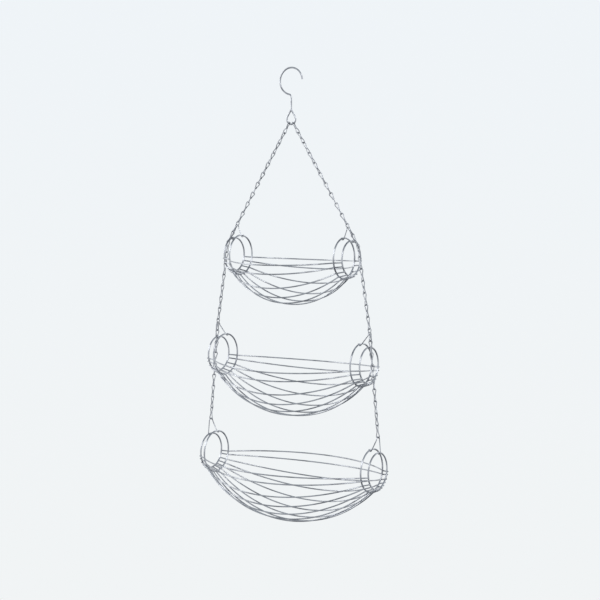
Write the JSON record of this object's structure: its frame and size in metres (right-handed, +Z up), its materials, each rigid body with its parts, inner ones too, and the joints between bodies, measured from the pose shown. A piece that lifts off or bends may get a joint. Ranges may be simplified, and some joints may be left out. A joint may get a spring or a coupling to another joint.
{
  "type": "hanging fruit basket",
  "caption": "Tiered hanging fruit basket: chromed wire hammock baskets hung by wire hangers from a pair of jack chains under one question-mark hook.",
  "frame": {"origin": "the hook's seat: the inside of the top of its bend, where it sits on its support", "axes": "+X along the baskets, +Z up, +Y towards the back"},
  "size_m": [0.328, 0.1898, 0.725],
  "materials": {
    "hook_wire": "bright chrome plate on drawn steel wire",
    "chain_wire": "bright chrome plate on drawn steel wire",
    "hanger_wire": "bright chrome plate on drawn steel wire",
    "basket_wire": "bright chrome plate on drawn steel wire, welded before plating"
  },
  "bodies": {
    "hook": {"hook": "hook_wire"},
    "first_links": {"first_link_left": "chain_wire", "first_link_right": "chain_wire"},
    "upper_chains": {"upper_chain_left": "chain_wire", "upper_chain_right": "chain_wire", "top_hanger_left": "hanger_wire", "top_hanger_right": "hanger_wire"},
    "top_basket": {"top_outer_ring_left": "basket_wire", "top_outer_ring_right": "basket_wire", "top_inner_ring_left": "basket_wire", "top_inner_ring_right": "basket_wire", "top_rim_front": "basket_wire", "top_ribs_front": "basket_wire", "top_ribs_bottom": "basket_wire", "top_ribs_back": "basket_wire", "top_rim_back": "basket_wire"},
    "middle_chains": {"middle_link_left": "chain_wire", "middle_link_right": "chain_wire", "middle_chain_left": "chain_wire", "middle_chain_right": "chain_wire", "tie_link_left": "chain_wire", "tie_link_right": "chain_wire", "middle_hanger_left": "hanger_wire", "middle_hanger_right": "hanger_wire", "lower_link_left": "chain_wire", "lower_link_right": "chain_wire"},
    "middle_basket": {"middle_outer_ring_left": "basket_wire", "middle_outer_ring_right": "basket_wire", "middle_inner_ring_left": "basket_wire", "middle_inner_ring_right": "basket_wire", "middle_rim_front": "basket_wire", "middle_ribs_front": "basket_wire", "middle_ribs_bottom": "basket_wire", "middle_ribs_back": "basket_wire", "middle_rim_back": "basket_wire"},
    "lower_chains": {"lower_chain_left": "chain_wire", "lower_chain_right": "chain_wire", "bottom_hanger_left": "hanger_wire", "bottom_hanger_right": "hanger_wire"},
    "bottom_basket": {"bottom_outer_ring_left": "basket_wire", "bottom_outer_ring_right": "basket_wire", "bottom_inner_ring_left": "basket_wire", "bottom_inner_ring_right": "basket_wire", "bottom_rim_front": "basket_wire", "bottom_ribs_front": "basket_wire", "bottom_ribs_bottom": "basket_wire", "bottom_ribs_back": "basket_wire", "bottom_rim_back": "basket_wire"}
  },
  "joints": [
    {"name": "set_sway", "type": "hinge", "parent": "hook", "child": "first_links", "pos_m": [0, 0, -0.07921], "axis": [0, 1, 0], "range_deg": [-12, 12]},
    {"name": "set_swing", "type": "hinge", "parent": "first_links", "child": "upper_chains", "pos_m": [0, 0, -0.10067], "axis": [1, 0, 0], "range_deg": [-20, 20]},
    {"name": "top_tilt", "type": "hinge", "parent": "upper_chains", "child": "top_basket", "pos_m": [0, 0, -0.296], "axis": [1, 0, 0], "range_deg": [-25, 25]},
    {"name": "middle_swing", "type": "hinge", "parent": "upper_chains", "child": "middle_chains", "pos_m": [0, 0, -0.2746], "axis": [1, 0, 0], "range_deg": [-20, 20]},
    {"name": "middle_tilt", "type": "hinge", "parent": "middle_chains", "child": "middle_basket", "pos_m": [0, 0, -0.4605], "axis": [1, 0, 0], "range_deg": [-25, 25]},
    {"name": "lower_swing", "type": "hinge", "parent": "middle_chains", "child": "lower_chains", "pos_m": [0, 0, -0.441], "axis": [1, 0, 0], "range_deg": [-20, 20]},
    {"name": "bottom_tilt", "type": "hinge", "parent": "lower_chains", "child": "bottom_basket", "pos_m": [0, 0, -0.6245], "axis": [1, 0, 0], "range_deg": [-25, 25]}
  ]
}
